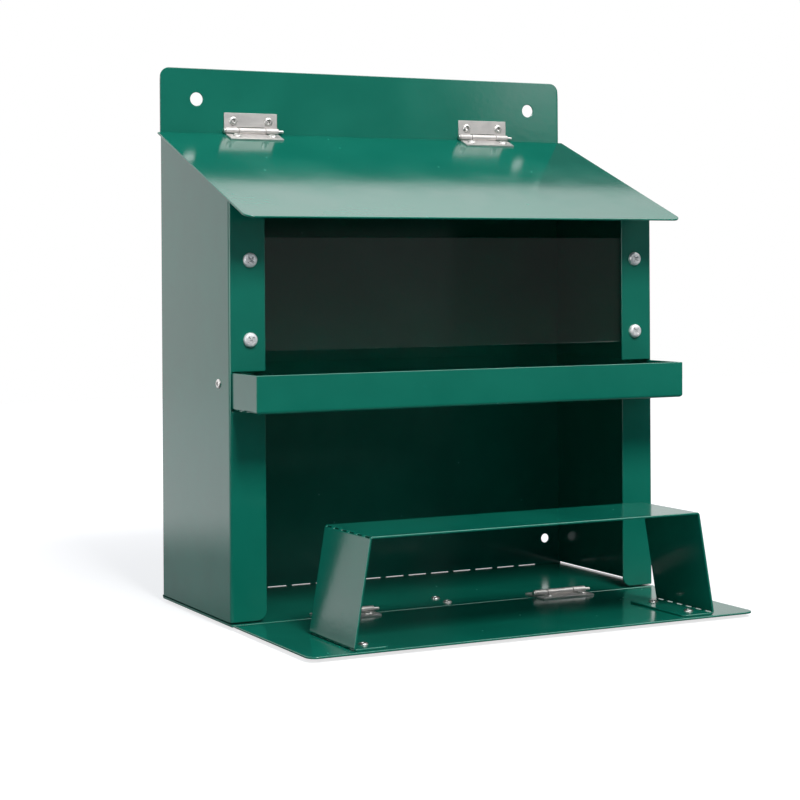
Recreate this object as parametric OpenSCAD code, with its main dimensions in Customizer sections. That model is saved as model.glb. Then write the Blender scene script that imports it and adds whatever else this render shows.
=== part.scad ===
// Squirrel feeder of folded sheet steel: a seed hopper with a clear window, a
// feed tray, a hinged lid, and a fold-up platform that carries a picnic table.
// Heights in the modules are from the underside of the floor panel, and y is
// measured forward (negative) from the rear face of the back panel.

/* [Box] */
// Width of the box across its side panels
body_w = 240; // [200:1:300]
// Depth from the rear face of the back panel to the front flanges
body_d = 94; // [86:1:110]
// Height of the back panel
back_h = 274.5; // [266:0.5:300]
// Height of the lid's top face where it would meet the rear face
lid_back_h = 241.5; // [237:0.5:243]
// Fall of the lid and of the side panels towards the front
lid_slope = 21.5; // [18:0.5:24]
// Thickness of the folded steel sheet
sheet_t = 1; // [0.8:0.1:1.5]
// Width of the flanges beside the front opening
flange_w = 18.5; // [17:0.5:24]
// Rounding of the free corners of the box
corner_r = 5; // [2:0.5:8]
// Outside radius of the bends
bend_r = 1.6; // [1:0.1:2]

/* [Wall holes] */
// Diameter of the two upper holes
upper_hole_d = 7; // [4:0.5:9]
// Diameter of the two lower holes
lower_hole_d = 5; // [4:0.5:7]
// Distance between the two upper holes
upper_hole_gap = 200; // [180:1:204]
// Height of the two upper holes
upper_hole_h = 258.5; // [256:0.5:260]
// Distance between the two lower holes
lower_hole_gap = 220; // [190:1:222]
// Height of the two lower holes
lower_hole_h = 15.5; // [12:0.5:20]

/* [Feed tray] */
// Height of the tray's underside
tray_h = 102.5; // [101:0.5:104]
// Height of the tray's walls
tray_wall_h = 18; // [12:0.5:20]
// How far the tray stands out in front of the box
tray_reach = 30; // [20:0.5:40]
// Gap between the tray and each side panel
tray_gap = 0.2; // [0.1:0.1:0.5]

/* [Window] */
// Height of the window's lower edge
window_h = 130.5; // [126:0.5:132]
// Height of the window's upper edge
window_top_h = 185; // [180:0.5:194]
// Thickness of the clear sheet
window_t = 2; // [1.5:0.5:3]
// Height of the lower window screws
window_screw_h = 136; // [135.5:0.5:138]
// Distance between the upper and the lower window screws
window_screw_gap = 38; // [28:0.5:41]
// Diameter of the window screws
screw_d = 4; // [3:0.5:5]

/* [Lid] */
// How far the lid stands past each side panel
lid_side = 2; // [0:0.5:5]
// How far the lid stands out in front of the box
lid_reach = 25.5; // [15:0.5:32]
// Gap between the lid and the box
lid_gap = 0.4; // [0.2:0.1:1]

/* [Hinges] */
// Length of each hinge
hinge_len = 30; // [28:1:36]
// Width of one leaf, from the hinge's axis to its free edge
leaf_w = 9.5; // [9:0.5:11]
// Thickness of the leaves
leaf_t = 0.8; // [0.6:0.1:1]
// Diameter of the hinge pins
pin_d = 1.6; // [1.4:0.1:2]
// How far a pin stands out at its right end
pin_proud = 3; // [1:0.5:4]
// Distance from the middle of the box to the middle of each lid hinge
lid_hinge_x = 70; // [50:0.5:90]
// Distance from the middle of the box to the middle of each floor hinge
floor_hinge_x = 61; // [40:0.5:68]
// Diameter of the rivet heads
rivet_head_d = 5; // [4:0.5:6]

/* [Platform] */
// Length of the platform in front of its hinges
platform_l = 87; // [76:1:95]
// How much narrower than the box the platform is on each side
platform_side = 0.5; // [0:0.5:3]
// Gap between the floor panel and the platform
platform_gap = 1; // [0.5:0.25:2]
// Thickness of the strap that holds the platform level
strap_t = 1.5; // [1.5:0.1:2]
// Length of the strap under the floor and the platform
strap_l = 50; // [44:1:60]
// Width of the strap
strap_w = 14; // [12:1:20]

/* [Picnic table] */
// Length of the table top
table_l = 177; // [150:1:184]
// Depth of the table top, from front to back
table_d = 48; // [38:1:52]
// Height of the table top above the platform
table_h = 50; // [42:0.5:51]
// Distance across the feet of the two legs
table_foot_l = 194; // [186:1:197]
// Length of each foot that is bent inward
table_foot_w = 18; // [14:1:22]
// Distance from the platform's front edge to the table
table_setback = 2.5; // [1:0.5:8]

/* [Hidden] */
$fn = 48;

// Finishes
green = [0.05, 0.42, 0.34];
zinc = [0.78, 0.77, 0.75];
clear = [0.85, 0.93, 0.95, 0.35];

// Lines that several parts share
half_w = body_w / 2;
back_front_y = -sheet_t;
front_y = -body_d;
inner_front_y = front_y + sheet_t;
eps = 0.01;
joint_bite = 0.5;

// The side panels stop just above the floor panel
side_gap = 0.8;
side_base = sheet_t + side_gap;

// Stitch bends: slots with bridges between them, long on the box and short on the small bends
stitch_slot = 11;
stitch_bridge = 3;
stitch_w = 0.3;
small_slot = 5;
small_bridge = 3;
stitch_margin = 14;

// Hinges
hinge_clear = 0.05;
knuckle_r = pin_d / 2 + hinge_clear + leaf_t;
knuckle_gap = 0.3;
end_knuckle = hinge_len / 4;
axis_lift = 0.25;
axis_h = knuckle_r + axis_lift;
leaf_notch = 0.4;
rivet_pitch = hinge_len - 10;
rivet_from_axis = leaf_w - 4.3;
rivet_head_h = 1;
rivet_dome_r = 0.62 * rivet_head_d;
rivet_d = 0.6 * rivet_head_d;
rivet_tail_d = 0.88 * rivet_head_d;
rivet_tail_h = 1.4;
mandrel_hole_d = 0.3 * rivet_head_d;
mandrel_hole_h = rivet_head_h + 0.4;

// Lid: the axis lies on top of the lid's sheet and in front of the back panel
lid_axis_y = back_front_y - axis_h;
lid_axis_z = lid_back_h + lid_axis_y * tan(lid_slope) + axis_h / cos(lid_slope);
lid_rear_gap = 0.5;
lid_rear_y = back_front_y - lid_rear_gap;
lid_foot_along = (lid_axis_y - lid_rear_y + (axis_h + sheet_t) * sin(lid_slope)) / cos(lid_slope);

// Platform: the axis lies just in front of the box, on top of the sheets
floor_axis_y = front_y - knuckle_gap - knuckle_r;
floor_end_y = floor_axis_y + platform_gap / 2;
platform_start_y = floor_axis_y - platform_gap / 2;
platform_end_y = floor_axis_y - platform_l;
platform_w = body_w - 2 * platform_side;

// Feed tray
tray_w = body_w - 2 * sheet_t - 2 * tray_gap;
tray_front_y = front_y - tray_reach;
tray_notch_gap = 0.4;
tray_rivet_back = 14;
tray_rivet_y = front_y + tray_rivet_back;
tray_rivet_z = tray_h + 0.68 * tray_wall_h;

// Window
window_gap = 0.3;
window_w = body_w - 2 * sheet_t - 2 * window_gap;
window_back_y = inner_front_y + window_t;
window_screw_x = half_w - flange_w / 2 - 1.4;
screw_head_d = 1.75 * screw_d;
screw_head_h = 0.6 * screw_d;
nut_af = 1.75 * screw_d;
nut_h = 0.8 * screw_d;
screw_clear = 0.15;

// Strap
strap_rivet_inset = 8;
strap_rivet_gap = 13;
strap_hold = 27;
strap_corner_r = 3;

// Table
table_end_y = platform_end_y + table_setback;
table_rivet_x = table_foot_l / 2 - table_foot_w / 2;
table_rivet_inset = 9;
table_top_x = table_l / 2;
table_foot_x = table_foot_l / 2;
table_lean = atan((table_foot_x - table_top_x) / table_h);
foot_corner_r = 3;
slit_w = 0.9;
table_slits = floor((table_d + small_bridge - 2) / (small_slot + small_bridge));
table_slit_start = (table_d + small_bridge - table_slits * (small_slot + small_bridge)) / 2;

// Whole part: centred over its footprint and stood on the strap and the rivet tails
base_gap = max(strap_t, rivet_tail_h);
rear_proud = rivet_tail_h;
middle_y = (platform_end_y + rear_proud) / 2;

// Puts a part at its place in the shared frame
module placed() {
    translate([0, -middle_y, base_gap]) children();
}

// A flat plate in the XY plane with four chosen corner radii, starting at z = 0
module plate(x0, x1, y0, y1, t, r_rear, r_front) {
    r_r = max(r_rear, eps);
    r_f = max(r_front, eps);
    linear_extrude(t) union() {
        translate([x0, y0 + r_f]) square([x1 - x0, y1 - y0 - r_f - r_r]);
        translate([x0 + r_f, y0]) square([x1 - x0 - 2 * r_f, y1 - y0]);
        translate([x0 + r_r, y0 + r_f]) square([x1 - x0 - 2 * r_r, y1 - y0 - r_f]);
        for (x = [x0 + r_f, x1 - r_f]) translate([x, y0 + r_f]) circle(r_f);
        for (x = [x0 + r_r, x1 - r_r]) translate([x, y1 - r_r]) circle(r_r);
    }
}

// Height of the side panels' top edge at a given y, just under the lid
function side_top(y) = lid_back_h - (sheet_t + lid_gap) / cos(lid_slope) + y * tan(lid_slope);

// Outline of a side panel in the YZ plane, drawn with x as depth and y as height
module side_outline() {
    polygon([[0, side_base], [0, side_top(0)], [front_y, side_top(front_y)], [front_y, side_base]]);
}

// A sheet standing in the YZ plane, made from a 2D outline drawn as depth and height
module upright_sheet(x0, t) {
    translate([x0, 0, 0]) rotate([90, 0, 90]) linear_extrude(t) children();
}

// Two flanges bent inward from one side panel, open where the tray passes
module front_flanges(side) {
    lower_top = tray_h - tray_notch_gap;
    upper_base = tray_h + tray_wall_h + tray_notch_gap;
    x_in = half_w - flange_w;
    mirror([side < 0 ? 1 : 0, 0, 0]) translate([0, inner_front_y, 0]) rotate([90, 0, 0])
        linear_extrude(sheet_t) difference() {
            union() {
                translate([x_in, side_base]) square([flange_w, lower_top - side_base]);
                translate([x_in, upper_base]) square([flange_w, side_top(front_y) - upper_base]);
            }
            // rounded lower inner corner
            translate([x_in, side_base]) corner_cut(corner_r);
        }
}

// The waste of a rounded corner whose sharp point is at the origin
module corner_cut(r) {
    difference() {
        translate([-eps, -eps]) square(r + eps);
        translate([r, r]) circle(r);
    }
}

// The folded box: back panel, floor panel, two sides and their front flanges
module body_shell() {
    color(green) placed() difference() {
        union() {
            // back panel with rounded upper corners
            rotate([90, 0, 0]) linear_extrude(sheet_t) difference() {
                translate([-half_w, 0]) square([body_w, back_h]);
                translate([-half_w, back_h]) mirror([0, 1]) corner_cut(corner_r);
                translate([half_w, back_h]) mirror([1, 0]) mirror([0, 1]) corner_cut(corner_r);
            }
            // floor panel
            translate([-half_w, floor_end_y, 0]) cube([body_w, -floor_end_y, sheet_t]);
            // side panels
            upright_sheet(-half_w, sheet_t) side_outline();
            upright_sheet(half_w - sheet_t, sheet_t) side_outline();
            front_flanges(-1);
            front_flanges(1);
        }
        // wall holes
        for (x = [-0.5, 0.5] * upper_hole_gap) wall_hole(x, upper_hole_h, upper_hole_d);
        for (x = [-0.5, 0.5] * lower_hole_gap) wall_hole(x, lower_hole_h, lower_hole_d);
        // holes for the window screws
        for (x = [-1, 1] * window_screw_x, z = window_screw_heights())
            translate([x, inner_front_y + eps, z]) rotate([90, 0, 0])
                cylinder(d = screw_d + 2 * screw_clear, h = sheet_t + 2 * eps);
        // holes for the tray rivets
        translate([-half_w - eps, tray_rivet_y, tray_rivet_z]) rotate([0, 90, 0])
            cylinder(d = rivet_d, h = body_w + 2 * eps);
        // holes for the hinge rivets in the back panel and in the floor panel
        for (x = hinge_rivet_xs(lid_hinge_x))
            translate([x, eps, lid_axis_z + rivet_from_axis]) rotate([90, 0, 0])
                cylinder(d = rivet_d, h = sheet_t + 2 * eps);
        for (x = hinge_rivet_xs(floor_hinge_x))
            translate([x, floor_axis_y + rivet_from_axis, -eps]) cylinder(d = rivet_d, h = sheet_t + 2 * eps);
        for (y = strap_rivet_ys()) translate([0, y, -eps]) cylinder(d = rivet_d, h = sheet_t + 2 * eps);
        // stitch slots along the bend between the back panel and the floor panel
        stitch_row(body_w - 2 * stitch_margin, stitch_slot, stitch_bridge)
            translate([0, -stitch_w - sheet_t, sheet_t]) cube([stitch_slot, stitch_w + sheet_t + eps, stitch_w]);
        shell_bend_waste();
    }
}

// What the bends leave off the sharp outer edges of the box
module shell_bend_waste() {
    // between the floor panel and the back panel
    translate([-half_w - eps, 0, 0]) rotate([90, 0, 90]) linear_extrude(body_w + 2 * eps)
        mirror([1, 0]) corner_cut(bend_r);
    for (s = [0, 1]) mirror([s, 0, 0]) {
        // between a side panel and the back panel
        translate([-half_w, 0, side_base]) linear_extrude(side_top(0) - side_base) mirror([0, 1]) corner_cut(bend_r);
        // between a side panel and its flanges
        translate([-half_w, front_y, sheet_t + side_gap / 2]) linear_extrude(lid_back_h) corner_cut(bend_r);
    }
}

// A hole through the back panel
module wall_hole(x, z, d) {
    translate([x, eps, z]) rotate([90, 0, 0]) cylinder(d = d, h = sheet_t + 2 * eps);
}

// Repeats a slot along X, centred, as often as the length holds
module stitch_row(len, slot, bridge) {
    count = floor((len + bridge) / (slot + bridge));
    for (i = [0 : count - 1])
        translate([(i - count / 2) * (slot + bridge) + bridge / 2, 0, 0]) children();
}

function window_screw_heights() = [window_screw_h, window_screw_h + window_screw_gap];
function hinge_rivet_xs(x) = [for (s = [-1, 1], o = [-0.5, 0.5]) s * x + o * rivet_pitch];
function strap_rivet_ys() = [floor_end_y + strap_rivet_inset, floor_end_y + strap_rivet_inset + strap_rivet_gap];
function table_rivet_ys() = [table_end_y + table_rivet_inset, table_end_y + table_d - table_rivet_inset];

// Feed tray: a pan that runs from the back panel out through the front
module feed_tray() {
    len = -tray_front_y + back_front_y - tray_gap;
    color(green) placed() translate([0, tray_front_y, tray_h]) difference() {
        translate([-tray_w / 2, 0, 0]) cube([tray_w, len, tray_wall_h]);
        translate([-tray_w / 2 + sheet_t, sheet_t, sheet_t])
            cube([tray_w - 2 * sheet_t, len - 2 * sheet_t, tray_wall_h]);
        translate([-tray_w / 2 - eps, tray_rivet_y - tray_front_y, tray_rivet_z - tray_h]) rotate([0, 90, 0])
            cylinder(d = rivet_d, h = tray_w + 2 * eps);
        // bends under the front wall and under the end walls
        translate([-tray_w / 2 - eps, 0, 0]) rotate([90, 0, 90]) linear_extrude(tray_w + 2 * eps)
            corner_cut(bend_r);
        for (s = [0, 1]) mirror([s, 0, 0]) translate([-tray_w / 2, len + eps, 0]) rotate([90, 0, 0])
            linear_extrude(len + 2 * eps) corner_cut(bend_r);
        // stitch slots along the bends of the end walls
        for (s = [0, 1]) mirror([s, 0, 0]) translate([-tray_w / 2, len / 2, 0]) rotate([0, 0, 90])
            stitch_row(len - stitch_margin, small_slot, small_bridge) bend_slot();
    }
}

// A short slot along X through a right-angled bend whose sharp edge lies on the X axis
module bend_slot() {
    notch = sheet_t + stitch_w;
    translate([0, -notch, -eps]) cube([small_slot, notch + eps, sheet_t + eps]);
}

// Clear window behind the upper flanges
module window() {
    color(clear) placed() difference() {
        translate([-window_w / 2, inner_front_y, window_h])
            cube([window_w, window_t, window_top_h - window_h]);
        for (x = [-1, 1] * window_screw_x, z = window_screw_heights())
            translate([x, window_back_y + eps, z]) rotate([90, 0, 0])
                cylinder(d = screw_d + 2 * screw_clear, h = window_t + 2 * eps);
    }
}

// One pan-head screw with a cross recess, its head at the front
module pan_screw(len) {
    head_r = screw_head_d / 2;
    difference() {
        union() {
            translate([0, 0, -eps]) cylinder(d = screw_d, h = len + eps);
            rotate_extrude() intersection() {
                translate([0, -screw_head_h]) square([head_r, screw_head_h]);
                translate([0, head_r * 1.1 - screw_head_h]) circle(r = head_r * 1.1);
            }
        }
        for (a = [0, 90]) rotate([0, 0, a])
            translate([-screw_d * 0.45, -screw_d * 0.09, -screw_head_h - eps])
                cube([screw_d * 0.9, screw_d * 0.18, screw_head_h * 0.55]);
    }
}

// Four screws that hold the window
module window_screws() {
    grip = sheet_t + window_t + nut_h + 1.5;
    color(zinc) placed()
        for (x = [-1, 1] * window_screw_x, z = window_screw_heights())
            translate([x, front_y, z]) rotate([-90, 45, 0]) pan_screw(grip);
}

// Four nuts behind the window
module window_nuts() {
    color(zinc) placed()
        for (x = [-1, 1] * window_screw_x, z = window_screw_heights())
            translate([x, window_back_y, z]) rotate([-90, 0, 0]) difference() {
                cylinder(d = nut_af / cos(30), h = nut_h, $fn = 6);
                translate([0, 0, -eps]) cylinder(d = screw_d, h = nut_h + 2 * eps);
            }
}

// One blind rivet along +Z: domed head below z = 0, tail beyond the grip
module blind_rivet(grip, tail_h = rivet_tail_h) {
    difference() {
        union() {
            rotate_extrude() intersection() {
                translate([0, -rivet_head_h]) square([rivet_head_d / 2, rivet_head_h]);
                translate([0, rivet_dome_r - rivet_head_h]) circle(r = rivet_dome_r);
            }
            translate([0, 0, -joint_bite]) cylinder(d = rivet_d, h = grip + joint_bite);
            if (tail_h > 0) translate([0, 0, grip]) cylinder(d = rivet_tail_d, h = tail_h);
        }
        translate([0, 0, -rivet_head_h - eps]) cylinder(d = mandrel_hole_d, h = mandrel_hole_h);
    }
}

// Rivets that hold the tray to the side panels
module tray_rivets() {
    grip = 2 * sheet_t + tray_gap;
    color(zinc) placed() for (s = [-1, 1])
        translate([s * half_w, tray_rivet_y, tray_rivet_z]) rotate([0, -s * 90, 0]) blind_rivet(grip);
}

// Hinged lid: one sloping sheet with rounded front corners
module roof_lid() {
    run = (body_d + lid_reach + back_front_y - lid_rear_gap) / cos(lid_slope);
    color(green) placed() lid_frame() difference() {
        plate(-half_w - lid_side, half_w + lid_side, -run, 0, sheet_t, 0, corner_r);
        for (x = hinge_rivet_xs(lid_hinge_x)) translate([x, lid_foot_along - rivet_from_axis, -eps])
            cylinder(d = rivet_d, h = sheet_t + 2 * eps);
    }
}

// Frame on the lid's underside: origin at its rear edge, -Y down the slope
module lid_frame() {
    rear_z = lid_back_h + lid_rear_y * tan(lid_slope) - sheet_t / cos(lid_slope);
    translate([0, lid_rear_y, rear_z]) rotate([lid_slope, 0, 0]) children();
}

// Platform: flat sheet with rounded front corners
module platform() {
    color(green) placed() difference() {
        plate(-platform_w / 2, platform_w / 2, platform_end_y, platform_start_y, sheet_t, 0, corner_r);
        for (x = hinge_rivet_xs(floor_hinge_x)) translate([x, floor_axis_y - rivet_from_axis, -eps])
            cylinder(d = rivet_d, h = sheet_t + 2 * eps);
        for (x = [-1, 1] * table_rivet_x, y = table_rivet_ys()) translate([x, y, -eps])
            cylinder(d = rivet_d, h = sheet_t + 2 * eps);
    }
}

// Strap riveted under the floor panel: the platform rests on its free end
module platform_strap() {
    y1 = floor_end_y + strap_hold;
    color(green) placed() translate([0, 0, -strap_t]) difference() {
        plate(-strap_w / 2, strap_w / 2, y1 - strap_l, y1, strap_t, strap_corner_r, strap_corner_r);
        for (y = strap_rivet_ys()) translate([0, y, -eps]) cylinder(d = rivet_d, h = strap_t + 2 * eps);
    }
}

// Two rivets through the floor panel and the strap, finished flush below
module strap_rivets() {
    color(zinc) placed() for (y = strap_rivet_ys())
        translate([0, y, sheet_t]) mirror([0, 0, 1]) blind_rivet(sheet_t + strap_t, 0);
}

// Picnic table: one strip bent into a top, two raked legs and two inward feet
module picnic_table() {
    color(green) placed() translate([0, table_end_y, sheet_t]) difference() {
        table_run(table_d) table_strip();
        for (s = [0, 1]) mirror([s, 0, 0]) {
            // rounded free corners of the foot
            for (end = [0, 1]) translate([-table_foot_x + table_foot_w, end * table_d, -eps])
                linear_extrude(sheet_t + 2 * eps) mirror([1, 0]) mirror([0, end]) corner_cut(foot_corner_r);
            // stitch slits through the bends of the top and of the foot
            for (i = [0 : table_slits - 1]) translate([0, table_slit_start + i * (small_slot + small_bridge), 0])
                table_run(small_slot) for (bend = table_bends()) bend_slit(bend[0], bend[1], bend[2]);
        }
        for (x = [-1, 1] * table_rivet_x, y = table_rivet_ys()) translate([x, y - table_end_y, -eps])
            cylinder(d = rivet_d, h = sheet_t + 2 * eps);
    }
}

// Runs an end view of the table to the rear over a length
module table_run(len) {
    translate([0, len, 0]) rotate([90, 0, 0]) linear_extrude(len) children();
}

// Left half's bends: the sharp outer corner and the directions of the two sheets that meet there
function table_bends() = [
    [[-table_top_x, table_h], -90 - table_lean, 0],
    [[-table_foot_x, 0], 0, 90 - table_lean]
];

// The sharp inner corner of a bend, one sheet thickness in from both outer faces
function inner_corner(bend) =
    let (half = (bend[2] - bend[1]) / 2, mid = (bend[1] + bend[2]) / 2, reach = sheet_t / sin(half))
    bend[0] + reach * [cos(mid), sin(mid)];

// The waste of a bend at a corner p between sheets that leave it at the angles a and b
module bend_waste(p, a, b, r) {
    half = (b - a) / 2;
    mid = [cos((a + b) / 2), sin((a + b) / 2)];
    centre = p + r / sin(half) * mid;
    difference() {
        polygon([
            p - eps * mid, p + r / tan(half) * [cos(a), sin(a)], centre, p + r / tan(half) * [cos(b), sin(b)]
        ]);
        translate(centre) circle(r);
    }
}

// A slit through the middle of a bend
module bend_slit(p, a, b) {
    translate(p) rotate((a + b) / 2) translate([-eps, -slit_w / 2]) square([2 * bend_r, slit_w]);
}

// End view of the bent strip
module table_strip() {
    top = table_bends()[0];
    foot = table_bends()[1];
    inner_top = inner_corner(top);
    inner_foot = inner_corner(foot);
    difference() {
        polygon([
            top[0], foot[0], [-table_foot_x + table_foot_w, 0], [-table_foot_x + table_foot_w, sheet_t],
            [table_foot_x - table_foot_w, sheet_t], [table_foot_x - table_foot_w, 0],
            [table_foot_x, 0], [table_top_x, table_h]
        ]);
        polygon([inner_top, inner_foot, [-inner_foot[0], inner_foot[1]], [-inner_top[0], inner_top[1]]]);
        for (s = [0, 1]) mirror([s, 0]) {
            bend_waste(top[0], top[1], top[2], bend_r);
            bend_waste(foot[0], foot[1], foot[2], bend_r);
        }
    }
}

// Rivets through the feet and the platform
module table_rivets() {
    color(zinc) placed() for (x = [-1, 1] * table_rivet_x, y = table_rivet_ys())
        translate([x, y, 2 * sheet_t]) mirror([0, 0, 1]) blind_rivet(2 * sheet_t);
}

// One hinge leaf lying on z = 0 and reaching to +Y, with the axis along X at height axis_h.
// The outer leaf carries the two end knuckles and the inner leaf the long middle one.
module hinge_leaf(outer) {
    difference() {
        union() {
            linear_extrude(leaf_t) difference() {
                translate([-hinge_len / 2, 0]) square([hinge_len, leaf_w]);
                for (x = [-0.5, 0.5] * rivet_pitch) translate([x, rivet_from_axis]) circle(d = rivet_d);
            }
            translate([0, 0, axis_h]) rotate([0, 90, 0]) cylinder(r = knuckle_r, h = hinge_len, center = true);
            // the rolled root that joins the knuckles to the leaf
            translate([-hinge_len / 2, 0, 0]) cube([hinge_len, knuckle_r * 0.6, axis_h]);
        }
        translate([0, 0, axis_h]) rotate([0, 90, 0])
            cylinder(r = pin_d / 2 + hinge_clear, h = hinge_len + 2 * eps, center = true);
        // room for the other leaf's knuckles
        if (outer) knuckle_room(-hinge_len / 2 + end_knuckle, hinge_len / 2 - end_knuckle, knuckle_gap);
        else for (s = [-1, 1]) scale([s, 1, 1])
            knuckle_room(hinge_len / 2 - end_knuckle, hinge_len / 2 + eps, 0);
    }
}

// The space that the mating knuckles turn in, from x0 to x1, wider by a gap at each end
module knuckle_room(x0, x1, gap) {
    reach = knuckle_r + leaf_notch;
    translate([x0 - gap, -reach, -eps]) cube([x1 - x0 + 2 * gap, 2 * reach, axis_h + knuckle_r + 2 * eps]);
}

// Hinge pin along X with a small formed head at its left end
module hinge_pin() {
    head_t = 0.7;
    head_gap = 0.1;
    translate([-hinge_len / 2 - head_t - head_gap, 0, axis_h]) rotate([0, 90, 0]) {
        cylinder(d = pin_d, h = hinge_len + head_t + head_gap + pin_proud);
        cylinder(d = pin_d + 1, h = head_t);
    }
}

// Places of the hinges: against the back panel, on the lid, on the floor panel and on the platform
module on_back(side) {
    color(zinc) placed() translate([side * lid_hinge_x, back_front_y, lid_axis_z]) rotate([90, 0, 0]) children();
}
module on_lid(side) {
    color(zinc) placed() translate([side * lid_hinge_x, lid_axis_y, lid_axis_z]) rotate([lid_slope, 0, 0])
        translate([0, 0, -axis_h]) rotate([0, 0, 180]) children();
}
module on_floor(side) {
    color(zinc) placed() translate([side * floor_hinge_x, floor_axis_y, sheet_t]) children();
}
module on_platform(side) {
    color(zinc) placed() translate([side * floor_hinge_x, floor_axis_y, sheet_t]) rotate([0, 0, 180]) children();
}

module lid_hinge_left_back_leaf() { on_back(-1) hinge_leaf(true); }
module lid_hinge_right_back_leaf() { on_back(1) hinge_leaf(true); }
module lid_hinge_left_lid_leaf() { on_lid(-1) hinge_leaf(false); }
module lid_hinge_right_lid_leaf() { on_lid(1) hinge_leaf(false); }
module lid_hinge_left_pin() { on_back(-1) hinge_pin(); }
module lid_hinge_right_pin() { on_back(1) hinge_pin(); }
module floor_hinge_left_floor_leaf() { on_floor(-1) hinge_leaf(true); }
module floor_hinge_right_floor_leaf() { on_floor(1) hinge_leaf(true); }
module floor_hinge_left_platform_leaf() { on_platform(-1) hinge_leaf(false); }
module floor_hinge_right_platform_leaf() { on_platform(1) hinge_leaf(false); }
module floor_hinge_left_pin() { on_floor(-1) hinge_pin(); }
module floor_hinge_right_pin() { on_floor(1) hinge_pin(); }

// Rivets of the hinges, grouped by the sheet that they hold
module lid_hinge_back_rivets() {
    color(zinc) placed() for (x = hinge_rivet_xs(lid_hinge_x))
        translate([x, back_front_y - leaf_t, lid_axis_z + rivet_from_axis]) rotate([-90, 0, 0])
            blind_rivet(leaf_t + sheet_t);
}
module lid_hinge_lid_rivets() {
    color(zinc) placed() for (x = hinge_rivet_xs(lid_hinge_x))
        translate([x, lid_axis_y, lid_axis_z]) rotate([lid_slope, 0, 0])
            translate([0, -rivet_from_axis, leaf_t - axis_h]) mirror([0, 0, 1])
                blind_rivet(leaf_t + sheet_t);
}
module floor_hinge_floor_rivets() {
    color(zinc) placed() for (x = hinge_rivet_xs(floor_hinge_x))
        translate([x, floor_axis_y + rivet_from_axis, sheet_t + leaf_t]) mirror([0, 0, 1])
            blind_rivet(leaf_t + sheet_t);
}
module floor_hinge_platform_rivets() {
    color(zinc) placed() for (x = hinge_rivet_xs(floor_hinge_x))
        translate([x, floor_axis_y - rivet_from_axis, sheet_t + leaf_t]) mirror([0, 0, 1])
            blind_rivet(leaf_t + sheet_t);
}

body_shell();
feed_tray();
window();
window_screws();
window_nuts();
tray_rivets();
roof_lid();
platform();
picnic_table();
table_rivets();
platform_strap();
strap_rivets();
lid_hinge_left_back_leaf();
lid_hinge_left_lid_leaf();
lid_hinge_left_pin();
lid_hinge_right_back_leaf();
lid_hinge_right_lid_leaf();
lid_hinge_right_pin();
floor_hinge_left_floor_leaf();
floor_hinge_left_platform_leaf();
floor_hinge_left_pin();
floor_hinge_right_floor_leaf();
floor_hinge_right_platform_leaf();
floor_hinge_right_pin();
lid_hinge_back_rivets();
lid_hinge_lid_rivets();
floor_hinge_floor_rivets();
floor_hinge_platform_rivets();
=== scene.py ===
import math

import bmesh
import bpy
from mathutils import Matrix, Vector
from mathutils.bvhtree import BVHTree


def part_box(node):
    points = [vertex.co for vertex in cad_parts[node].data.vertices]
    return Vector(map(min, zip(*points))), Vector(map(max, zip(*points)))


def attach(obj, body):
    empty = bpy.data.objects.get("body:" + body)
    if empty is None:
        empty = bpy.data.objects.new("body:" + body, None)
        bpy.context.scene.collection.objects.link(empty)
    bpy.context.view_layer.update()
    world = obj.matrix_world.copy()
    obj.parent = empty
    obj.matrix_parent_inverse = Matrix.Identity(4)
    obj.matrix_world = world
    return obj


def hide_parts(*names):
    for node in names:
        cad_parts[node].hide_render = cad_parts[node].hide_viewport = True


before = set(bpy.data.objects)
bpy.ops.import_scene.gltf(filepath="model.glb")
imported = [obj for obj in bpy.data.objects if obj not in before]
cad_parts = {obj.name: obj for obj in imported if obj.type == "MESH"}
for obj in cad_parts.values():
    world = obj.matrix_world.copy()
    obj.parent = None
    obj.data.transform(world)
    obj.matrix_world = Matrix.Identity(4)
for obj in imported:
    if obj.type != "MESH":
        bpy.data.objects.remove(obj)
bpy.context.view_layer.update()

# The photograph's camera: a long lens, left of the box and level with its window, looking to the
# right. Most of the feeder lies below the lens axis in the picture, hence the shift.
scene = bpy.context.scene
scene.view_settings.view_transform = "Standard"
shell_low, shell_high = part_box("body_shell")
foot_of_wall = Vector((0.0, shell_high.y, shell_low.z))
camera_from_wall = Vector((-0.4664, -0.9541, 0.1694))
camera_yaw = math.radians(26.95)
camera_pitch = math.radians(-0.15)
camera_roll = math.radians(-0.34)

camera_data = bpy.data.cameras.new("photo_camera")
camera_data.sensor_width = 36.0
camera_data.lens = 87.73
camera_data.shift_y = -0.1575
camera_data.clip_start = 0.05
camera_data.clip_end = 20.0
camera = bpy.data.objects.new("photo_camera", camera_data)
scene.collection.objects.link(camera)
forward = Vector((
    math.sin(camera_yaw) * math.cos(camera_pitch),
    math.cos(camera_yaw) * math.cos(camera_pitch),
    math.sin(camera_pitch),
))
level_right = Vector((math.cos(camera_yaw), -math.sin(camera_yaw), 0.0))
level_up = level_right.cross(forward)
right = level_right * math.cos(camera_roll) + level_up * math.sin(camera_roll)
up = level_up * math.cos(camera_roll) - level_right * math.sin(camera_roll)
turn = Matrix((right, up, -forward)).transposed().to_4x4()
camera.matrix_world = Matrix.Translation(foot_of_wall + camera_from_wall) @ turn
scene.camera = camera


# The studio: a white backdrop all round and a pale floor. The camera and the window see them white,
# and the gloss sees a bright wall behind, brighter overhead, and a dim room in front with two
# bright windows, which draw the pale lines along the edges of the sheets.
def add_node(tree, kind, **values):
    node = tree.nodes.new(kind)
    for name, value in values.items():
        setattr(node, name, value)
    return node


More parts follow.
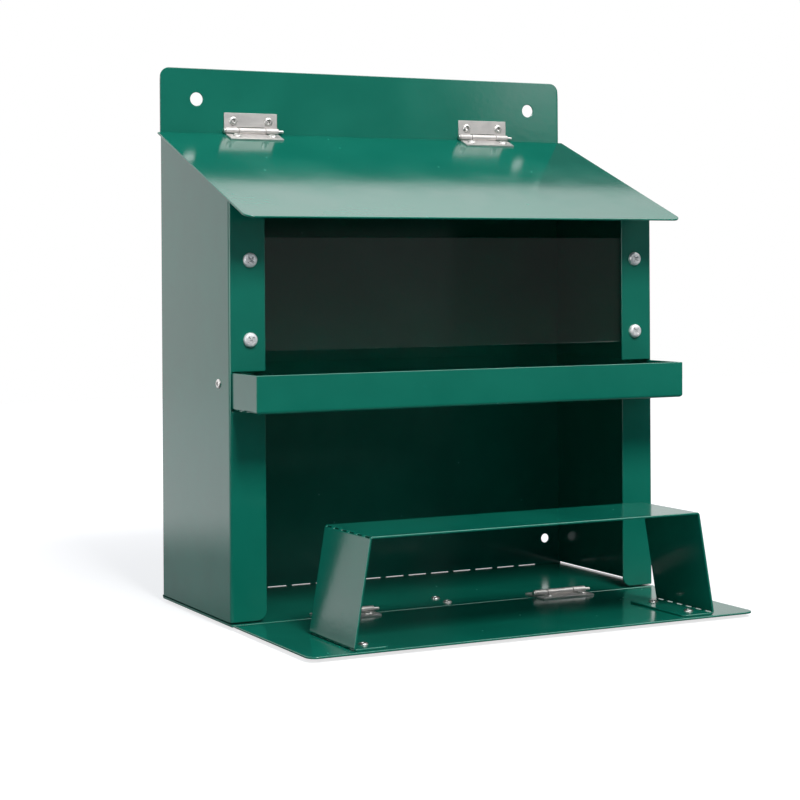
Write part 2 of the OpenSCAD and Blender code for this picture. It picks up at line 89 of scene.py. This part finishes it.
def feed(tree, socket, value):
    """Sets a socket to a plain value, or links it to the socket that feeds it."""
    if isinstance(value, bpy.types.NodeSocket):
        tree.links.new(value, socket)
    else:
        socket.default_value = value


def number(tree, operation, first, second):
    """A math node: each side is a plain number or the socket that feeds it."""
    node = add_node(tree, "ShaderNodeMath", operation=operation)
    feed(tree, node.inputs[0], first)
    feed(tree, node.inputs[1], second)
    return node.outputs[0]


def ramp_between(tree, value, low, high, low_result, high_result):
    """Runs smoothly from one result to the other while the value goes from low to high."""
    node = add_node(tree, "ShaderNodeMapRange", interpolation_type="SMOOTHSTEP")
    feed(tree, node.inputs["Value"], value)
    feed(tree, node.inputs["From Min"], low)
    feed(tree, node.inputs["From Max"], high)
    feed(tree, node.inputs["To Min"], low_result)
    feed(tree, node.inputs["To Max"], high_result)
    return node.outputs["Result"]


room_ambient = 0.14
ambient_tint = (0.74, 0.95, 1.40, 1.0)
front_gloss = 0.12
wall_gloss = 1.12
overhead_gloss = 1.65
gloss_windows = (((0.47, -0.33, 0.82), 5.0), ((-0.93, -0.36, 0.02), 4.5))

world = bpy.data.worlds.new("studio")
scene.world = world
world.use_nodes = True
tree = world.node_tree
tree.nodes.clear()
path = add_node(tree, "ShaderNodeLightPath")
axes = add_node(tree, "ShaderNodeSeparateXYZ")
direction = add_node(tree, "ShaderNodeTexCoord").outputs["Generated"]
feed(tree, axes.inputs[0], direction)
rear_gloss = ramp_between(tree, axes.outputs["Z"], 0.25, 0.55, wall_gloss, overhead_gloss)
to_the_right = ramp_between(tree, axes.outputs["X"], 0.42, 0.62, 1.0, 0.72)
rear_gloss = number(tree, "MULTIPLY", rear_gloss, to_the_right)
behind = ramp_between(tree, axes.outputs["Y"], -0.6, 0.2, 0.0, 1.0)
room_gloss = number(tree, "MAXIMUM", number(tree, "MULTIPLY", rear_gloss, behind), front_gloss)
for window_way, window_gloss in gloss_windows:
    facing = add_node(tree, "ShaderNodeVectorMath", operation="DOT_PRODUCT")
    feed(tree, facing.inputs[0], direction)
    feed(tree, facing.inputs[1], Vector(window_way).normalized())
    patch = ramp_between(tree, facing.outputs["Value"], 0.945, 0.98, 0.0, window_gloss)
    room_gloss = number(tree, "ADD", room_gloss, patch)
from_camera = path.outputs["Is Camera Ray"]
seen_bounce = number(tree, "MAXIMUM", path.outputs["Is Glossy Ray"], path.outputs["Is Transmission Ray"])
seen_white = number(tree, "MAXIMUM", number(tree, "MULTIPLY", room_gloss, seen_bounce), from_camera)
plain_white = add_node(tree, "ShaderNodeBackground")
feed(tree, plain_white.inputs["Color"], (1.0, 1.0, 1.0, 1.0))
feed(tree, plain_white.inputs["Strength"], seen_white)
soft_room = add_node(tree, "ShaderNodeBackground")
feed(tree, soft_room.inputs["Color"], ambient_tint)
lit_only = number(tree, "SUBTRACT", 1.0, number(tree, "MAXIMUM", seen_bounce, from_camera))
feed(tree, soft_room.inputs["Strength"], number(tree, "MULTIPLY", lit_only, room_ambient))
both = add_node(tree, "ShaderNodeAddShader")
feed(tree, both.inputs[0], plain_white.outputs[0])
feed(tree, both.inputs[1], soft_room.outputs[0])
feed(tree, add_node(tree, "ShaderNodeOutputWorld").inputs["Surface"], both.outputs[0])

floor_reach = 1.6
floor_drop = 0.0003
floor_mesh = bpy.data.meshes.new("studio_floor")
bm = bmesh.new()
bmesh.ops.create_grid(bm, x_segments=1, y_segments=1, size=floor_reach)
bmesh.ops.translate(bm, verts=bm.verts, vec=(0.0, 0.0, -floor_drop))
bm.to_mesh(floor_mesh)
bm.free()
studio_floor = bpy.data.objects.new("studio_floor", floor_mesh)
scene.collection.objects.link(studio_floor)
floor_paint = bpy.data.materials.new("studio_floor")
floor_paint.use_nodes = True
tree = floor_paint.node_tree
tree.nodes.clear()
path = add_node(tree, "ShaderNodeLightPath")
in_gloss = path.outputs["Is Glossy Ray"]
place = add_node(tree, "ShaderNodeTexCoord").outputs["Object"]
axes = add_node(tree, "ShaderNodeSeparateXYZ")
feed(tree, axes.inputs[0], place)
reach = add_node(tree, "ShaderNodeVectorMath", operation="LENGTH")
feed(tree, reach.inputs[0], place)
near_glow = ramp_between(tree, reach.outputs["Value"], 0.22, 0.60, 0.74, 1.0)
behind = ramp_between(tree, axes.outputs["Y"], -0.15, 0.15, 0.0, 1.0)
far_glow = ramp_between(tree, reach.outputs["Value"], 0.28, 0.50, 0.25, wall_gloss)
rear_glow = number(tree, "MULTIPLY", far_glow, behind)
through_window = number(tree, "MULTIPLY", path.outputs["Is Transmission Ray"], behind)
seen_directly = number(tree, "MAXIMUM", path.outputs["Is Camera Ray"], through_window)
glow = add_node(tree, "ShaderNodeEmission")
glow_level = number(
    tree, "ADD",
    number(tree, "MULTIPLY", near_glow, seen_directly),
    number(tree, "MULTIPLY", rear_glow, in_gloss),
)
feed(tree, glow.inputs["Strength"], glow_level)
lit = add_node(tree, "ShaderNodeBsdfDiffuse")
floor_in_gloss = 0.30
floor_grey = 0.42
gloss_colour = number(tree, "MULTIPLY", behind, floor_in_gloss)
plain_colour = number(tree, "MULTIPLY", number(tree, "SUBTRACT", 1.0, in_gloss), floor_grey)
floor_colour = number(tree, "ADD", number(tree, "MULTIPLY", gloss_colour, in_gloss), plain_colour)
feed(tree, lit.inputs["Color"], floor_colour)
floor_sum = add_node(tree, "ShaderNodeAddShader")
feed(tree, floor_sum.inputs[0], lit.outputs[0])
feed(tree, floor_sum.inputs[1], glow.outputs[0])
feed(tree, add_node(tree, "ShaderNodeOutputMaterial").inputs["Surface"], floor_sum.outputs[0])
floor_mesh.materials.append(floor_paint)

# A dark card stands to the right of the back panel, as high as its top. It laps over the panel's
# softened edge and stands just in front of it. Only the gloss sees it, so the lid stays green up
# to its right edge, as in the photograph.
card_mesh = bpy.data.meshes.new("dark_card")
bm = bmesh.new()
bmesh.ops.create_grid(bm, x_segments=1, y_segments=1, size=0.5)
bmesh.ops.rotate(bm, verts=bm.verts, cent=(0, 0, 0), matrix=Matrix.Rotation(math.radians(90), 3, "X"))
card_lap = 0.0006
card_width = 0.22
card_height = 0.06
card_glow = 0.07
card_y = shell_high.y - 0.0014
card_low = Vector((shell_high.x - card_lap, card_y, shell_high.z - card_height))
card_high = Vector((shell_high.x + card_width, card_y, shell_high.z))
bmesh.ops.scale(bm, verts=bm.verts, vec=(card_high.x - card_low.x, 1.0, card_high.z - card_low.z))
bmesh.ops.translate(bm, verts=bm.verts, vec=(card_low + card_high) / 2)
bm.to_mesh(card_mesh)
bm.free()
dark_card = bpy.data.objects.new("dark_card", card_mesh)
scene.collection.objects.link(dark_card)
dark_card.visible_camera = False
dark_card.visible_diffuse = False
dark_card.visible_transmission = False
dark_card.visible_shadow = False
card_cloth = bpy.data.materials.new("dark_card")
card_cloth.use_nodes = True
tree = card_cloth.node_tree
tree.nodes.clear()
glow = add_node(tree, "ShaderNodeEmission")
glow.inputs["Strength"].default_value = card_glow
feed(tree, add_node(tree, "ShaderNodeOutputMaterial").inputs["Surface"], glow.outputs[0])
card_mesh.materials.append(card_cloth)

# Studio lamps: name, place, what it faces, its width and height in metres, its watts, and whether
# it shows in the gloss. The key stands high in front, so the tray and the lid shade what is under
# them, and the right card only shows as the pale sheen at the right of the back panel.
softboxes = (
    ("front_key", (-0.08, -1.12, 1.28), (0.0, -0.02, 0.12), 0.45, 0.50, 24.0, True),
    ("left_fill", (-1.30, -0.05, 0.90), (0.0, 0.0, 0.12), 0.9, 0.9, 5.0, False),
    ("overhead", (0.10, -0.30, 1.50), (0.0, 0.0, 0.15), 1.0, 0.8, 3.0, False),
    ("right_card", (0.97, -1.05, 0.60), (0.0, 0.0, 0.2), 0.46, 0.50, 1.9, True),
)
for name, place, target, width, height, watts, in_gloss in softboxes:
    lamp = bpy.data.lights.new(name, "AREA")
    lamp.shape = "RECTANGLE"
    lamp.size = width
    lamp.size_y = height
    lamp.energy = watts
    softbox = bpy.data.objects.new(name, lamp)
    scene.collection.objects.link(softbox)
    softbox.location = place
    softbox.rotation_euler = (Vector(target) - Vector(place)).to_track_quat("-Z", "Y").to_euler()
    softbox.visible_glossy = in_gloss


# Box: one laser-cut sheet of 1 mm steel, folded into back, sides, floor and four front flanges.
# Its bends are cut as rows of slots, so they fold by hand, and the sheet is powder-coated a deep
# glossy green. The baked coat has a faint orange peel, is a little uneven and holds some dust.
def new_effect(name, inputs, output):
    """A node group with named inputs and one output: the group, what it is given, its result."""
    group = bpy.data.node_groups.new(name, "ShaderNodeTree")
    for label, kind, value in inputs:
        socket = group.interface.new_socket(label, in_out="INPUT", socket_type=kind)
        if value is not None:
            socket.default_value = value
    group.interface.new_socket(output, in_out="OUTPUT", socket_type="NodeSocketFloat")
    given = group.nodes.new("NodeGroupInput").outputs
    return group, given, group.nodes.new("NodeGroupOutput").inputs[0]


def noise(tree, place, scale, detail):
    node = tree.nodes.new("ShaderNodeTexNoise")
    feed(tree, node.inputs["Vector"], place)
    feed(tree, node.inputs["Scale"], scale)
    node.inputs["Detail"].default_value = detail
    return node.outputs["Fac"]


place_and_size = (("Place", "NodeSocketVector", None), ("Size", "NodeSocketFloat", 0.01))

orange_peel, given, result = new_effect("orange_peel", place_and_size, "Height")
per_metre = number(orange_peel, "DIVIDE", 1.0, given["Size"])
peel_wave = noise(orange_peel, given["Place"], per_metre, 1.0)
peel_grain = noise(orange_peel, given["Place"], number(orange_peel, "MULTIPLY", per_metre, 5.0), 2.0)
peel_height = number(orange_peel, "ADD", peel_wave, number(orange_peel, "MULTIPLY", peel_grain, 0.12))
feed(orange_peel, result, peel_height)

uneven_film, given, result = new_effect("uneven_film", place_and_size, "Film")
film_noise = noise(uneven_film, given["Place"], number(uneven_film, "DIVIDE", 1.0, given["Size"]), 4.0)
feed(uneven_film, result, ramp_between(uneven_film, film_noise, 0.32, 0.68, 0.0, 1.0))

speck_inputs = place_and_size + (("Share", "NodeSocketFloat", 0.1),)
dust_specks, given, result = new_effect("dust_specks", speck_inputs, "Specks")
cells = dust_specks.nodes.new("ShaderNodeTexVoronoi")
feed(dust_specks, cells.inputs["Vector"], given["Place"])
feed(dust_specks, cells.inputs["Scale"], number(dust_specks, "DIVIDE", 1.0, given["Size"]))
cell_draw = dust_specks.nodes.new("ShaderNodeSeparateColor")
feed(dust_specks, cell_draw.inputs[0], cells.outputs["Color"])
has_speck = number(dust_specks, "LESS_THAN", cell_draw.outputs["Red"], given["Share"])
speck_radius = ramp_between(dust_specks, cell_draw.outputs["Green"], 0.0, 1.0, 0.08, 0.22)
speck_shape = ramp_between(dust_specks, cells.outputs["Distance"], speck_radius, 0.0, 0.0, 1.0)
feed(dust_specks, result, number(dust_specks, "MULTIPLY", has_speck, speck_shape))


def use_effect(tree, effect, place, **values):
    node = tree.nodes.new("ShaderNodeGroup")
    node.node_tree = effect
    feed(tree, node.inputs["Place"], place)
    for name, value in values.items():
        node.inputs[name].default_value = value
    return node.outputs[0]


def tint(tree, factor, first, second):
    """Mixes two colours, each a plain colour or the socket that feeds it."""
    node = add_node(tree, "ShaderNodeMix", data_type="RGBA")
    feed(tree, node.inputs["Factor"], factor)
    feed(tree, node.inputs["A"], first)
    feed(tree, node.inputs["B"], second)
    return node.outputs["Result"]


def relief(tree, height, depth, strength):
    """A surface normal from a height between 0 and 1 that stands for the depth in metres."""
    node = tree.nodes.new("ShaderNodeBump")
    node.inputs["Strength"].default_value = strength
    node.inputs["Distance"].default_value = depth
    feed(tree, node.inputs["Height"], height)
    return node.outputs["Normal"]


def new_finish(name):
    """A material: itself, its nodes, its shader, and the place on the piece."""
    material = bpy.data.materials.new(name)
    material.use_nodes = True
    tree = material.node_tree
    place = tree.nodes.new("ShaderNodeTexCoord").outputs["Object"]
    return material, tree, tree.nodes["Principled BSDF"], place


powder_coat, tree, shader, place = new_finish("green_powder_coat")
coat_film = use_effect(tree, uneven_film, place, Size=0.035)
coat_dust = use_effect(tree, dust_specks, place, Size=0.0045, Share=0.04)
coat_green = tint(tree, coat_film, (0.0036, 0.138, 0.093, 1.0), (0.0046, 0.154, 0.104, 1.0))
dusty_green = tint(tree, number(tree, "MULTIPLY", coat_dust, 0.35), coat_green, (0.012, 0.32, 0.25, 1.0))
feed(tree, shader.inputs["Base Color"], dusty_green)
coat_roughness = ramp_between(tree, coat_film, 0.0, 1.0, 0.125, 0.165)
dust_roughness = number(tree, "MULTIPLY", coat_dust, 0.25)
feed(tree, shader.inputs["Roughness"], number(tree, "ADD", coat_roughness, dust_roughness))
coat_peel = use_effect(tree, orange_peel, place, Size=0.0026)
feed(tree, shader.inputs["Normal"], relief(tree, coat_peel, 0.0002, 0.10))
shader.inputs["IOR"].default_value = 1.52


flat_angle = math.radians(0.4)
crisp_angle = math.radians(35)
same_point = 2e-5
hole_reach = 0.0002
slit_reach = 0.002
slit_ends = [Vector((x, 0.0900, 0.2413)) for x in (-0.120, 0.120)]
slotted_bend_y = 0.0885
slotted_bend_z = 0.0036
all_heads = bmesh.new()
for node_name, cad_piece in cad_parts.items():
    if node_name.endswith(("rivets", "screws")):
        all_heads.from_mesh(cad_piece.data)
heads = BVHTree.FromBMesh(all_heads)
all_heads.free()


def left_sharp(vert):
    """True in a hole that a rivet or screw fills, on the slotted bend at the foot of the back panel,
    and at the ends of the slits beside the lid."""
    in_hole = heads.find_nearest(vert.co, hole_reach)[0] is not None
    on_slotted_bend = vert.co.y > slotted_bend_y and vert.co.z < slotted_bend_z
    at_slit = any((vert.co - spot).length < slit_reach for spot in slit_ends)
    return in_hole or on_slotted_bend or at_slit


def finished(node, body, material, edge):
    """A copy of a CAD node with softened edges, which shows in the node's place."""
    name = "fine_" + node
    mesh = bpy.data.meshes.new(name)
    bm = bmesh.new()
    bm.from_mesh(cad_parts[node].data)
    bmesh.ops.remove_doubles(bm, verts=bm.verts, dist=same_point)
    bmesh.ops.dissolve_limit(bm, angle_limit=flat_angle, verts=bm.verts, edges=bm.edges)
    softness = bm.edges.layers.float.new("bevel_weight_edge")
    for line in bm.edges:
        crisp = line.calc_face_angle(0.0) > crisp_angle
        if crisp and not any(left_sharp(vert) for vert in line.verts):
            line[softness] = 1.0
    bm.to_mesh(mesh)
    bm.free()
    mesh.materials.clear()
    mesh.materials.append(material)
    mesh.shade_smooth()
    mesh.set_sharp_from_angle(angle=crisp_angle)
    piece = bpy.data.objects.new(name, mesh)
    scene.collection.objects.link(piece)
    soft_edge = piece.modifiers.new("soft_edge", "BEVEL")
    soft_edge.width = edge
    soft_edge.segments = 2
    soft_edge.limit_method = "WEIGHT"
    soft_edge.use_clamp_overlap = False
    even_shine = piece.modifiers.new("even_shine", "WEIGHTED_NORMAL")
    even_shine.weight = 100
    even_shine.keep_sharp = True
    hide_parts(node)
    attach(piece, body)


coat_edge = 0.0003
finished("body_shell", "box", powder_coat, coat_edge)

# Feed tray: a second folded sheet. It is the hopper's floor, slides out through the gap between the
# front flanges and ends in a trough with three low walls, riveted through the side panels.
finished("feed_tray", "box", powder_coat, coat_edge)

# Tray rivets: blind rivets of bare aluminium, one through each side panel into the tray's wall. The
# head is a ring with a steep rim round the hole of the snapped-off mandrel, and the tail a bulb.
rivet_alloy, tree, shader, place = new_finish("rivet_alloy")
rivet_film = use_effect(tree, uneven_film, place, Size=0.0014)
rivet_tone = tint(tree, rivet_film, (0.60, 0.59, 0.58, 1.0), (0.74, 0.73, 0.71, 1.0))
feed(tree, shader.inputs["Base Color"], rivet_tone)
feed(tree, shader.inputs["Roughness"], ramp_between(tree, rivet_film, 0.0, 1.0, 0.34, 0.46))
rivet_grain = use_effect(tree, orange_peel, place, Size=0.0006)
feed(tree, shader.inputs["Normal"], relief(tree, rivet_grain, 0.00004, 0.25))
shader.inputs["Metallic"].default_value = 1.0


def fastener_places(node, outward):
    """Every fastener in a CAD node: where its head's top is, turned so that Z runs out of it, and
    its full depth in millimetres."""
    turn = Vector(outward).to_track_quat("Z", "Y").to_matrix()
    bm = bmesh.new()
    bm.from_mesh(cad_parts[node].data)
    bmesh.ops.remove_doubles(bm, verts=bm.verts, dist=same_point)
    seen = set()
    places = []
    for start in bm.verts:
        if start in seen:
            continue
        seen.add(start)
        reached = [start]
        for vert in reached:
            fresh = [edge.other_vert(vert) for edge in vert.link_edges if edge.other_vert(vert) not in seen]
            seen.update(fresh)
            reached.extend(dict.fromkeys(fresh))
        local = [turn.transposed() @ vert.co for vert in reached]
        low = [min(point[axis] for point in local) for axis in range(3)]
        high = [max(point[axis] for point in local) for axis in range(3)]
        head_top = turn @ Vector(((low[0] + high[0]) / 2, (low[1] + high[1]) / 2, high[2]))
        places.append((Matrix.Translation(head_top) @ turn.to_4x4(), (high[2] - low[2]) * 1000))
    bm.free()
    return places


def lathe(outline, steps):
    """A solid of revolution from an outline of (radius, height) in millimetres."""
    bm = bmesh.new()
    chain = [bm.verts.new((radius / 1000, 0.0, height / 1000)) for radius, height in outline]
    edges = [bm.edges.new(pair) for pair in zip(chain, chain[1:])]
    bmesh.ops.spin(
        bm, geom=chain + edges, cent=(0, 0, 0), axis=(0, 0, 1), angle=math.tau,
        steps=steps, use_merge=True, use_duplicate=False,
    )
    bmesh.ops.remove_doubles(bm, verts=bm.verts, dist=1e-6)
    bmesh.ops.recalc_face_normals(bm, faces=bm.faces)
    return bm


fastener_crisp_angle = math.radians(40)


def set_in_place(node, body, material, one, stands):
    """Sets copies of one fastener at each stand, as the piece that shows in the node's place."""
    mesh = bpy.data.meshes.new("fine_" + node)
    one.to_mesh(mesh)
    one.free()
    row = bmesh.new()
    for stand in stands:
        already = len(row.verts)
        row.from_mesh(mesh)
        row.verts.ensure_lookup_table()
        bmesh.ops.transform(row, matrix=stand, verts=row.verts[already:])
    row.to_mesh(mesh)
    row.free()
    mesh.materials.append(material)
    mesh.shade_smooth()
    mesh.set_sharp_from_angle(angle=fastener_crisp_angle)
    piece = bpy.data.objects.new("fine_" + node, mesh)
    scene.collection.objects.link(piece)
    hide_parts(node)
    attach(piece, body)


# Radius and height over the sheet of a rivet's head: mandrel stub, hole, ring and rim.
rivet_head = (
    (0.0, -0.05), (0.35, -0.02), (0.58, -0.14), (0.62, -0.45), (0.98, -0.45), (0.98, 0.66),
    (1.08, 0.84), (1.30, 0.91), (1.62, 0.86), (1.98, 0.66), (2.22, 0.42), (2.30, 0.22), (2.30, 0.0),
    (1.5, 0.0),
)
rivet_cad_head = 0.908
rivet_tail_depth = 1.4
rivet_steps = 32


def blind_rivets(node, body, ways, tail=True):
    """Blind rivets in place of a node's plain ones, their heads out in one of the given ways."""
    stands = []
    for way in ways:
        for stand, depth in fastener_places(node, way):
            if len(ways) == 1 or stand.translation.dot(Vector(way)) > 0:
                stands.append(stand @ Matrix.Translation((0.0, 0.0, -rivet_cad_head / 1000)))
                grip = depth - rivet_cad_head
    if tail:
        grip -= rivet_tail_depth
        end = (
            (1.5, -grip), (1.95, -grip - 0.05), (2.18, -grip - 0.40), (2.10, -grip - 0.85),
            (1.55, -grip - 1.22), (0.80, -grip - rivet_tail_depth), (0.0, -grip - rivet_tail_depth),
        )
    else:
        end = ((1.5, -grip + 0.1), (1.4, -grip), (0.0, -grip))
    set_in_place(node, body, rivet_alloy, lathe(rivet_head + end, rivet_steps), stands)


blind_rivets("tray_rivets", "box", ((1.0, 0.0, 0.0), (-1.0, 0.0, 0.0)))

# Window: a 2 mm sheet of clear acrylic, saw-cut and clamped behind the upper flanges. Its faces
# carry the faint smears of a wiping cloth and a little dust.
acrylic, tree, shader, place = new_finish("clear_acrylic")
wiped = tree.nodes.new("ShaderNodeMapping")
wiped.inputs["Rotation"].default_value = (0.0, math.radians(28), 0.0)
wiped.inputs["Scale"].default_value = (0.35, 1.0, 1.6)
feed(tree, wiped.inputs["Vector"], place)
smears = use_effect(tree, uneven_film, wiped.outputs["Vector"], Size=0.03)
window_dust = use_effect(tree, dust_specks, place, Size=0.006, Share=0.10)
clear_roughness = ramp_between(tree, smears, 0.0, 1.0, 0.015, 0.05)
window_dust_roughness = number(tree, "MULTIPLY", window_dust, 0.12)
feed(tree, shader.inputs["Roughness"], number(tree, "ADD", clear_roughness, window_dust_roughness))
shader.inputs["Base Color"].default_value = (0.96, 0.98, 0.98, 1.0)
shader.inputs["Transmission Weight"].default_value = 1.0
shader.inputs["IOR"].default_value = 1.49
window_edge = 0.0002
finished("window", "box", acrylic, window_edge)

# Window screws and nuts: four M4 pan-head screws with a cross recess, and their nuts behind the
# sheet, of bright zinc-plated steel that has gone slightly matt.
plated_screw, tree, shader, place = new_finish("plated_screw")
screw_film = use_effect(tree, uneven_film, place, Size=0.0018)
screw_tone = tint(tree, screw_film, (0.78, 0.80, 0.80, 1.0), (0.92, 0.92, 0.91, 1.0))
feed(tree, shader.inputs["Base Color"], screw_tone)
feed(tree, shader.inputs["Roughness"], ramp_between(tree, screw_film, 0.0, 1.0, 0.42, 0.55))
screw_grain = use_effect(tree, orange_peel, place, Size=0.0007)
feed(tree, shader.inputs["Normal"], relief(tree, screw_grain, 0.00005, 0.3))
shader.inputs["Metallic"].default_value = 0.5
screw_head = (
    (0.0, 1.98), (1.4, 1.97), (2.3, 1.92), (2.85, 1.76), (3.25, 1.40), (3.46, 0.85), (3.5, 0.35),
    (3.5, 0.0), (2.0, 0.0),
)
screw_cad_head = 2.365
screw_top = 0.0015
recess_reach = 0.0021
recess_half_width = 0.00048
recess_depth = 0.0016
recess_taper = 0.7
screw_steps = 40
screw_places = fastener_places("window_screws", (0.0, -1.0, 0.0))
shank = screw_places[0][1] - screw_cad_head
screw = lathe(screw_head + ((2.0, -shank + 0.4), (1.6, -shank), (0.0, -shank)), screw_steps)
for spot in (-recess_reach, -recess_half_width, recess_half_width, recess_reach):
    for across in (Vector((1.0, 0.0, 0.0)), Vector((0.0, 1.0, 0.0))):
        top = [face for face in screw.faces if face.calc_center_median().z > screw_top]
        rims = list({edge for face in top for edge in face.edges})
        points = list({vert for face in top for vert in face.verts})
        bmesh.ops.bisect_plane(
            screw, geom=points + rims + top, dist=1e-7, plane_co=across * spot, plane_no=across,
        )
cross = []
for face in screw.faces:
    middle = face.calc_center_median()
    narrow, wide = sorted((abs(middle.x), abs(middle.y)))
    if middle.z > screw_top and wide < recess_reach and narrow < recess_half_width:
        cross.append(face)
pushed = bmesh.ops.extrude_face_region(screw, geom=cross)
bmesh.ops.delete(screw, geom=cross, context="FACES")
sunk = [item for item in pushed["geom"] if isinstance(item, bmesh.types.BMVert)]
bmesh.ops.translate(screw, verts=sunk, vec=(0.0, 0.0, -recess_depth))
bmesh.ops.scale(screw, verts=sunk, vec=(recess_taper, recess_taper, 1.0))
recess_turn = Matrix.Rotation(math.radians(45), 4, "Z")
on_sheet = Matrix.Translation((0.0, 0.0, -screw_cad_head / 1000)) @ recess_turn
screw_stands = [stand @ on_sheet for stand, depth in screw_places]
set_in_place("window_screws", "box", plated_screw, screw, screw_stands)
small_edge = 0.0001
finished("window_nuts", "box", plated_screw, small_edge)

# Lid hinges: two 30 mm butt hinges, stamped from 0.8 mm strip, rolled round a steel pin and plated
# with bright zinc, which has a fine rolled grain and warm and cool patches. The back leaves are
# riveted to the back panel and hold the pins.
plate_zinc, tree, shader, place = new_finish("bright_zinc_plate")
rolled = tree.nodes.new("ShaderNodeMapping")
rolled.inputs["Scale"].default_value = (0.06, 1.0, 1.0)
feed(tree, rolled.inputs["Vector"], place)
grain_lines_per_metre = 2600.0
rolled_grain = noise(tree, rolled.outputs["Vector"], grain_lines_per_metre, 2.0)
plate_film = use_effect(tree, uneven_film, place, Size=0.006)
plate_specks = use_effect(tree, dust_specks, place, Size=0.0016, Share=0.15)
plate_tone = tint(tree, plate_film, (0.53, 0.51, 0.49, 1.0), (0.62, 0.59, 0.565, 1.0))
speck_share = number(tree, "MULTIPLY", plate_specks, 0.4)
feed(tree, shader.inputs["Base Color"], tint(tree, speck_share, plate_tone, (0.45, 0.42, 0.40, 1.0)))
plate_roughness = ramp_between(tree, rolled_grain, 0.3, 0.7, 0.38, 0.52)
feed(tree, shader.inputs["Roughness"], plate_roughness)
feed(tree, shader.inputs["Normal"], relief(tree, rolled_grain, 0.00003, 0.3))
shader.inputs["Metallic"].default_value = 0.6
for side in ("left", "right"):
    finished("lid_hinge_" + side + "_back_leaf", "box", plate_zinc, small_edge)
    finished("lid_hinge_" + side + "_pin", "box", rivet_alloy, small_edge)
blind_rivets("lid_hinge_back_rivets", "box", ((0.0, -1.0, 0.0),))

# Lid: a flat sheet, powder-coated like the box, that hangs over the front and both sides. The lid
# leaves of the hinges are riveted on top of it, so leaves, rivets and lid swing up together.
finished("roof_lid", "lid", powder_coat, coat_edge)
for side in ("left", "right"):
    finished("lid_hinge_" + side + "_lid_leaf", "lid", plate_zinc, small_edge)
lid_slope = math.radians(21.5)
blind_rivets("lid_hinge_lid_rivets", "lid", ((0.0, -math.sin(lid_slope), math.cos(lid_slope)),))

# Platform rest: a short coated strap, riveted under the floor panel by two rivets on its centre
# line. It stands out in front of the panel, and the lowered platform lies on it.
finished("platform_strap", "box", powder_coat, coat_edge)
blind_rivets("strap_rivets", "box", ((0.0, 0.0, 1.0),), tail=False)

# Floor hinges: the same stamped hinges as on the lid, lying open. The floor leaves and the pins
# stay with the box, riveted to the floor panel.
for side in ("left", "right"):
    finished("floor_hinge_" + side + "_floor_leaf", "box", plate_zinc, small_edge)
    finished("floor_hinge_" + side + "_pin", "box", rivet_alloy, small_edge)
blind_rivets("floor_hinge_floor_rivets", "box", ((0.0, 0.0, 1.0),))

# Platform: a flat coated sheet with rounded front corners, riveted to the platform leaves of the
# floor hinges, so it folds up into the box with the table on it.
finished("platform", "platform", powder_coat, coat_edge)
for side in ("left", "right"):
    finished("floor_hinge_" + side + "_platform_leaf", "platform", plate_zinc, small_edge)
blind_rivets("floor_hinge_platform_rivets", "platform", ((0.0, 0.0, 1.0),))

# Picnic table: one strip of sheet with slotted bends, folded into a top, two raked legs and two
# feet turned inwards, and riveted to the platform by two rivets in each foot.
finished("picnic_table", "platform", powder_coat, coat_edge)
blind_rivets("table_rivets", "platform", ((0.0, 0.0, 1.0),))
